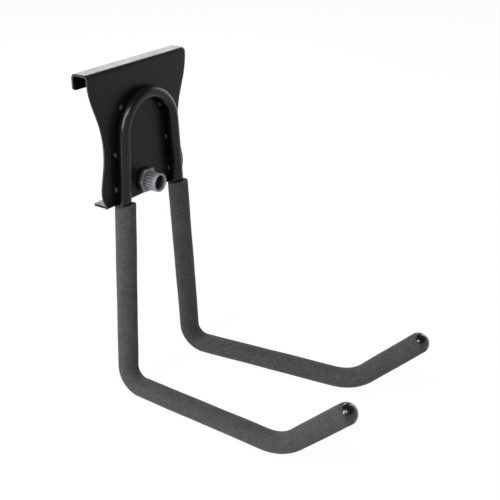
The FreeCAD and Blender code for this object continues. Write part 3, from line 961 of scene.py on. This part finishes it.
def makeInsert():
    start, top = insert["start"], insert["start"] + insert["length"]
    inner, outer = bolt["radius"] + thread["clearance"], insert["outer"]
    plain, fadeOver = insert["plainEnd"], insert["threadFade"]
    wide = inner + insert["chamfer"]
    profile = [(start, wide), (start, outer), (top, outer), (top, wide)]
    profile += [(h, inner) for h in np.linspace(top - 0.1, start + 0.1, insert["rows"])]

    def section(height, radius, angle):
        fade = np.clip((top - plain - height) / fadeOver, 0, 1)
        fade = fade * np.clip((height - start - plain) / fadeOver, 0, 1)
        cut = thread["depth"] * insert["threadShare"] * threadWave(height, angle) * fade
        return np.where(np.isclose(radius, inner), radius + cut, radius)

    grid = facingOut(spunGrid(profile, thread["columns"], section), knobHigh[1])
    piece = gridMesh("knobInsert", grid, 60.0, closeRows=True)
    finishPiece(piece, "knob", "insert_brass", insertBrass, "knob_insert")


def boltShank():
    tip, radius, small = bolt["end"], bolt["radius"], bolt["radius"] - thread["depth"]
    heights = np.linspace(-bolt["overlap"], tip - 0.02, 150)
    profile = [(-bolt["overlap"], 0.0)] + [(h, radius) for h in heights] + [(tip, small), (tip, 0.0)]

    def section(height, spun, angle):
        root = thread["depth"] * (1 - threadWave(height, angle)) * (height > bolt["threadStart"])
        cone = small + (tip - height) * (radius - small) / bolt["chamfer"]
        return np.where(np.isclose(spun, radius), np.minimum(radius - root, cone), spun)

    return facingOut(spunGrid(profile, thread["columns"], section), plateFront)


def roundedBlock(low, high, edge, count=5):
    # a box with ball-shaped corners: a ball whose eight parts are moved apart to the corners
    middle, half = (low + high) / 2, (high - low) / 2 - edge
    u = np.concatenate([np.linspace(0, 90, count) + q * 90 for q in range(4)])
    v = np.concatenate([np.linspace(-90, 0, count), np.linspace(0, 90, count)])
    u, v = np.radians(u)[None], np.radians(v)[:, None]
    quadrant = np.repeat(np.arange(4), count)[None]
    signX = np.where((quadrant == 0) | (quadrant == 3), 1, -1)
    signY = np.where(quadrant < 2, 1, -1)
    signZ = np.repeat([-1, 1], count)[:, None]
    x = middle[0] + signX * half[0] + edge * np.cos(u) * np.cos(v)
    y = middle[1] + signY * half[1] + edge * np.sin(u) * np.cos(v)
    z = middle[2] + signZ * half[2] + edge * np.sin(v)
    rows = np.stack([x, y, np.broadcast_to(z, x.shape)], axis=-1)
    poles = rows[[0, -1]]
    poles[..., :2] = middle[:2]
    return np.concatenate([poles[:1], rows, poles[1:]])


def boltNeck(headFront):
    half = bolt["neck"] / 2
    return roundedBlock(np.array([-half, plateFront, -knobDrop - half]),
                        np.array([half, headFront + bolt["overlap"], -knobDrop + half]), bolt["neckEdge"])


def boltHead(headFront):
    # slot-shaped rings with round ends, set in at both faces by the rounding and closed to the middle
    angle = np.arange(bolt["headColumns"]) * turn / bolt["headColumns"]
    length, radius = boltHigh[2] - boltLow[2], bolt["headWidth"] / 2
    straight = (length - bolt["headWidth"]) / 2
    c, s = np.abs(np.cos(angle)), np.abs(np.sin(angle))
    toSide = radius / np.maximum(c, 1e-6)
    toEnd = straight * s + np.sqrt(np.maximum(radius ** 2 - (straight * c) ** 2, 0))
    outline = np.where(toSide * s <= straight, toSide, toEnd)
    quarter = np.radians(np.linspace(90, 0, 6))
    heights = np.concatenate([[0.0], bolt["headRound"] * (1 - np.sin(quarter))])
    insets = np.concatenate([[length], bolt["headRound"] * (1 - np.cos(quarter))])
    heights = np.concatenate([heights, bolt["headHeight"] - heights[::-1]])[:, None]
    reach = np.maximum(outline - np.concatenate([insets, insets[::-1]])[:, None], 0)
    return np.stack([reach * np.cos(angle), headFront + heights + 0 * reach,
                     reach * np.sin(angle) - knobDrop], axis=-1)


def makeBolt():
    headFront = boltHigh[1] - bolt["headHeight"]
    piece = joinedMesh("lockBolt", [boltShank(), boltNeck(headFront), boltHead(headFront)], 50.0)
    finishPiece(piece, "bolt", "bolt_steel", boltZinc, "lock_bolt")


washer = {
    "edge": 0.2,
    "bore": 4.775,
    "columns": 72,
}


def makeWasher():
    low, high = boxOf("knob_washer")
    edge = washer["edge"]
    inner, outer = washer["bore"] + edge, (high[0] - low[0]) / 2 - edge
    front = high[1] - low[1] - edge
    profile = arcRows(edge, outer, edge, -90, 0, 4) + arcRows(front, outer, edge, 0, 90, 4)
    profile += arcRows(front, inner, edge, 90, 180, 4) + arcRows(edge, inner, edge, 180, 270, 4)
    grid = facingOut(spunGrid(profile, washer["columns"]), high[1])
    piece = gridMesh("knobWasher", grid, 50.0, closeRows=True)
    finishPiece(piece, "hook", "washer_steel", plateEnamel, "knob_washer")


makeKnob()
makeInsert()
makeBolt()
makeWasher()
print("knob, insert, bolt and washer made")


# Studio: a pale floor, soft lamps and the camera

studio = {
    "floorColour": "#f2f2f2",
    "floorSize": 40.0,       # metres
    "worldLight": 0.13,
    "skyline": (0.27, 0.5),  # sine of the elevation where the backdrop starts to darken and where it has
    "floorGlow": 0.95,       # share of plain white that the floor shows, the rest keeps the shadow
    "lamps": [               # name, place and aim, width and height, watts
        ("keyStrip", (-800, -30, 430), (-20, -40, -80), (280, 700), 12.5),
        ("leftSoftbox", (-560, 700, 60), (0, -60, -110), (450, 560), 2.2),
        ("backSoftbox", (850, 790, 530), (0, 0, -40), (760, 520), 8.2),
        ("rightStrip", (880, -160, 150), (0, -20, -60), (260, 800), 1.7),
        ("lowSoftbox", (-330, 300, -205), (0, -60, -60), (500, 300), 2.2),
        ("topSoftbox", (-480, -400, 560), (0, -150, -130), (180, 180), 2.6),
    ],
}
shot = {
    "place": (-447.96, -399.59, 140.27),
    "azimuth": -55.51,
    "elevation": 24.65,
    "roll": -0.28,
    "lens": 67.39,
    "sensor": 36.0,
    "clipStart": 10.0,
}


def palePaper():
    # matt white backdrop paper
    material, tree = newMaterial("palePaper")
    diffuse = addNode(tree, "ShaderNodeBsdfDiffuse", {"Color": linear(studio["floorColour"])})
    glow = addNode(tree, "ShaderNodeEmission", {"Color": grey(1), "Strength": 1.0})
    # the camera, reflections and clear parts see the white, the light that falls on the object doesn't grow
    rays = addNode(tree, "ShaderNodeLightPath").outputs
    seen = addNode(tree, "ShaderNodeMath", links={0: rays["Is Camera Ray"], 1: rays["Is Glossy Ray"]},
                   operation="ADD")
    seen = addNode(tree, "ShaderNodeMath", links={0: seen.outputs[0], 1: rays["Is Transmission Ray"]},
                   operation="ADD", use_clamp=True)
    share = addNode(tree, "ShaderNodeMath", {1: studio["floorGlow"]}, {0: seen.outputs[0]},
                    operation="MULTIPLY")
    mix = addNode(tree, "ShaderNodeMixShader",
                  links={0: share.outputs[0], 1: diffuse.outputs["BSDF"], 2: glow.outputs["Emission"]})
    addNode(tree, "ShaderNodeOutputMaterial", links={"Surface": mix.outputs["Shader"]})
    return material


def makeFloor():
    low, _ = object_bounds()
    half = studio["floorSize"] / 2
    corners = [(-half, -half, low.z), (half, -half, low.z), (half, half, low.z), (-half, half, low.z)]
    mesh = bpy.data.meshes.new("floor")
    mesh.from_pydata(corners, [], [(0, 1, 2, 3)])
    mesh.materials.append(palePaper())
    floor = newObject("floor", mesh)


def makeWorld():
    # a pale backdrop stands round the floor up to skyline; above it the light falls to a dim ceiling's
    world = bpy.data.worlds.new("studio")
    bpy.context.scene.world = world
    world.use_nodes = True
    tree = world.node_tree
    tree.nodes.clear()
    start, end = studio["skyline"]
    place = addNode(tree, "ShaderNodeTexCoord").outputs["Generated"]
    height = addNode(tree, "ShaderNodeSeparateXYZ", links={"Vector": place})
    glow = addNode(tree, "ShaderNodeMapRange",
                   {"From Min": start, "From Max": end, "To Min": studio["floorGlow"],
                    "To Max": studio["worldLight"]},
                   {"Value": height.outputs["Z"]}, interpolation_type="SMOOTHSTEP")
    light = addNode(tree, "ShaderNodeBackground", {"Color": grey(1)}, {"Strength": glow.outputs["Result"]})
    addNode(tree, "ShaderNodeOutputWorld", links={"Surface": light.outputs["Background"]})


def makeLamps():
    for name, place, aim, (width, height), watts in studio["lamps"]:
        light = bpy.data.lights.new(name, "AREA")
        light.shape = "RECTANGLE"
        light.size, light.size_y = width * mm, height * mm
        light.energy = watts
        lamp = newObject(name, light)
        lamp.location = Vector(place) * mm
        lamp.rotation_euler = (Vector(aim) - Vector(place)).to_track_quat("-Z", "Y").to_euler()


def makeCamera():
    azimuth, elevation, roll = (math.radians(shot[key]) for key in ("azimuth", "elevation", "roll"))
    level = Matrix.Rotation(azimuth, 4, "Z") @ Matrix.Rotation(math.pi / 2 - elevation, 4, "X")
    optics = bpy.data.cameras.new("shot")
    optics.lens = shot["lens"]
    optics.sensor_width = shot["sensor"]
    optics.clip_start = shot["clipStart"] * mm
    camera = newObject("shot", optics)
    place = Matrix.Translation(Vector(shot["place"]) * mm)
    camera.matrix_world = place @ level @ Matrix.Rotation(roll, 4, "Z")
    bpy.context.scene.camera = camera


makeFloor()
makeWorld()
makeLamps()
makeCamera()
bpy.context.scene.view_settings.view_transform = "Standard"
print("studio made")
